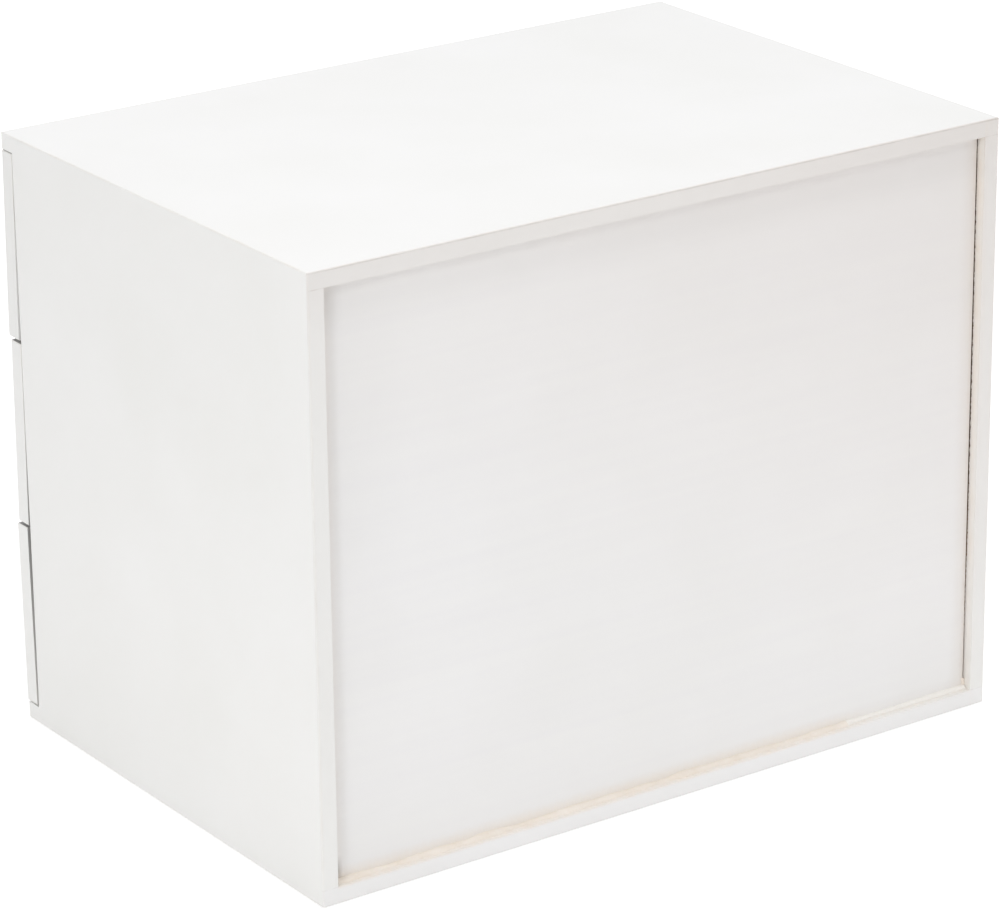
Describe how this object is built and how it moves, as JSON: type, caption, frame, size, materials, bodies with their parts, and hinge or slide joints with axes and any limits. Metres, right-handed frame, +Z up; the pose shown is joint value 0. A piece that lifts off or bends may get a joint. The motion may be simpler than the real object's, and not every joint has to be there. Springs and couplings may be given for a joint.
{
  "type": "drawer storage box",
  "caption": "Small painted board box with stacked full-width drawers on turned knobs and a let-in back panel, for craft supplies and small parts on a desk or shelf.",
  "frame": {"origin": "middle of the underside of the bottom panel, on the surface that the box stands on", "axes": "+Z up, +X to the right of a person facing the drawers, the drawers open towards -Y"},
  "size_m": [0.33, 0.2466, 0.255],
  "materials": {
    "painted_board": "satin white paint",
    "divider_board": "bare fibreboard",
    "drawer_wood": "bare sanded wood",
    "floor_ply": "bare plywood",
    "knob_lacquer": "white lacquer",
    "steel": "zinc plated"
  },
  "bodies": {
    "carcass": {"top_panel": "painted_board", "bottom_panel": "painted_board", "left_side_panel": "painted_board", "right_side_panel": "painted_board", "back_panel": "painted_board", "lower_divider": "divider_board", "upper_divider": "divider_board", "carcass_brads": "steel"},
    "bottom_drawer": {"bottom_drawer_front": "painted_board", "bottom_drawer_left_side": "drawer_wood", "bottom_drawer_right_side": "drawer_wood", "bottom_drawer_back": "drawer_wood", "bottom_drawer_floor": "floor_ply", "bottom_drawer_brads": "steel", "bottom_drawer_knob": "knob_lacquer", "bottom_drawer_knob_screw": "steel"},
    "middle_drawer": {"middle_drawer_front": "painted_board", "middle_drawer_left_side": "drawer_wood", "middle_drawer_right_side": "drawer_wood", "middle_drawer_back": "drawer_wood", "middle_drawer_floor": "floor_ply", "middle_drawer_brads": "steel", "middle_drawer_knob": "knob_lacquer", "middle_drawer_knob_screw": "steel"},
    "top_drawer": {"top_drawer_front": "painted_board", "top_drawer_left_side": "drawer_wood", "top_drawer_right_side": "drawer_wood", "top_drawer_back": "drawer_wood", "top_drawer_floor": "floor_ply", "top_drawer_brads": "steel", "top_drawer_knob": "knob_lacquer", "top_drawer_knob_screw": "steel"}
  },
  "joints": [
    {"name": "bottom_drawer_slide", "type": "slide", "parent": "carcass", "child": "bottom_drawer", "axis": [0, -1, 0], "range_m": [-0.00085, 0.15]},
    {"name": "middle_drawer_slide", "type": "slide", "parent": "carcass", "child": "middle_drawer", "axis": [0, -1, 0], "range_m": [0, 0.15]},
    {"name": "top_drawer_slide", "type": "slide", "parent": "carcass", "child": "top_drawer", "axis": [0, -1, 0], "range_m": [0, 0.15]}
  ]
}
